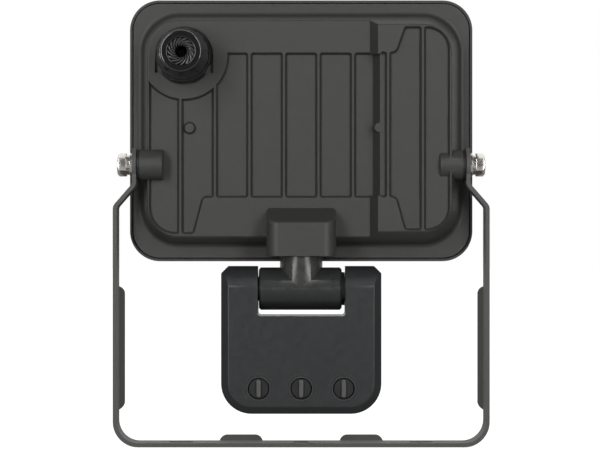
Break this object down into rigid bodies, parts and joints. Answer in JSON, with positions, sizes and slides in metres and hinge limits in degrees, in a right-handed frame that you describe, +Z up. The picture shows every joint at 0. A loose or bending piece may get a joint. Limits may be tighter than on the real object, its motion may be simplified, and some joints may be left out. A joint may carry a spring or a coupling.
{
  "type": "flood light with motion sensor",
  "caption": "Slim rectangular LED flood light on a U bracket, with a cable gland on its back and a panning, tilting motion sensor head below.",
  "frame": {"origin": "centre of the bracket's middle hole, on the underside of its bottom bar", "axes": "+Z up through the lamp, +Y the way the light leaves, +X to the right when the back is looked at"},
  "size_m": [0.1854, 0.055, 0.2218],
  "materials": {
    "casting_paint": "fine-textured satin powder coat, warm dark grey",
    "frame_paint": "fine-textured satin powder coat, warm dark grey",
    "bracket_paint": "satin powder coat, dark grey",
    "stainless": "turned and pressed stainless steel",
    "zinc_steel": "zinc-plated steel",
    "friction_plastic": "black acetal",
    "window_glass": "clear toughened glass",
    "silicone": "black silicone",
    "white_reflector": "white sheet",
    "white_board": "white solder mask on aluminium",
    "led_phosphor": "yellow phosphor in a white package",
    "green_board": "green glass-epoxy board",
    "transformer_tape": "yellow tape on a ferrite core",
    "capacitor_sleeve": "black sleeve",
    "black_epoxy": "moulded black case",
    "terminal_plastic": "white nylon",
    "mains_insulation": "brown insulation",
    "led_insulation": "red insulation",
    "gland_nylon": "black moulded nylon",
    "arm_plastic": "smooth dark moulded plastic",
    "cable_sheath": "black cable sheath",
    "sensor_plastic": "fine-grained blue-black moulded plastic",
    "lens_plastic": "milky polyethylene",
    "potentiometer_plastic": "blue moulded case",
    "can_metal": "tinned metal can",
    "cell_face": "clear-coated sensor face",
    "dial_plastic": "smooth black moulded plastic"
  },
  "bodies": {
    "bracket": {"mounting_bracket": "bracket_paint"},
    "lamp": {"hinge_bolts": "stainless", "spring_washers": "stainless", "flat_washers": "stainless", "friction_discs": "friction_plastic", "rear_housing": "casting_paint", "front_frame": "frame_paint", "front_glass": "window_glass", "glass_gasket": "silicone", "frame_screws": "zinc_steel", "reflector": "white_reflector", "led_board": "white_board", "led_chips": "led_phosphor", "led_board_screws": "zinc_steel", "driver_board": "green_board", "driver_board_screws": "zinc_steel", "driver_transformer": "transformer_tape", "driver_capacitors": "capacitor_sleeve", "driver_rectifier": "black_epoxy", "terminal_block": "terminal_plastic", "mains_leads": "mains_insulation", "led_leads": "led_insulation", "gland_body": "gland_nylon", "gland_dome_nut": "gland_nylon", "gland_seal": "silicone", "gland_gasket": "silicone", "gland_locknut": "gland_nylon"},
    "arm": {"sensor_arm": "arm_plastic", "arm_retaining_clip": "zinc_steel", "arm_o_ring": "silicone", "tilt_retaining_rings": "zinc_steel", "sensor_cable": "cable_sheath"},
    "sensor_head": {"sensor_back_cover": "sensor_plastic", "sensor_front_shell": "sensor_plastic", "sensor_lens": "lens_plastic", "sensor_board": "green_board", "dial_potentiometers": "potentiometer_plastic", "pir_element": "can_metal", "light_cell": "cell_face", "sensor_relay": "black_epoxy"},
    "time_knob": {"time_dial": "dial_plastic"},
    "lux_knob": {"lux_dial": "dial_plastic"},
    "range_knob": {"range_dial": "dial_plastic"}
  },
  "joints": [
    {"name": "body_tilt", "type": "hinge", "parent": "bracket", "child": "lamp", "pos_m": [0, 0, 0.1391], "axis": [1, 0, 0], "range_deg": [0, 180]},
    {"name": "sensor_pan", "type": "hinge", "parent": "lamp", "child": "arm", "pos_m": [0, -0.0034, 0.099], "axis": [0, 0, 1], "range_deg": [-90, 90]},
    {"name": "sensor_tilt", "type": "hinge", "parent": "arm", "child": "sensor_head", "pos_m": [0, -0.0034, 0.07795], "axis": [1, 0, 0], "range_deg": [-90, 45]},
    {"name": "time_turn", "type": "hinge", "parent": "sensor_head", "child": "time_knob", "pos_m": [-0.0208, -0.014, 0.0295], "axis": [0, 1, 0], "range_deg": [-135, 135]},
    {"name": "lux_turn", "type": "hinge", "parent": "sensor_head", "child": "lux_knob", "pos_m": [0, -0.014, 0.0295], "axis": [0, 1, 0], "range_deg": [-135, 135]},
    {"name": "range_turn", "type": "hinge", "parent": "sensor_head", "child": "range_knob", "pos_m": [0.0208, -0.014, 0.0295], "axis": [0, 1, 0], "range_deg": [-135, 135]}
  ]
}
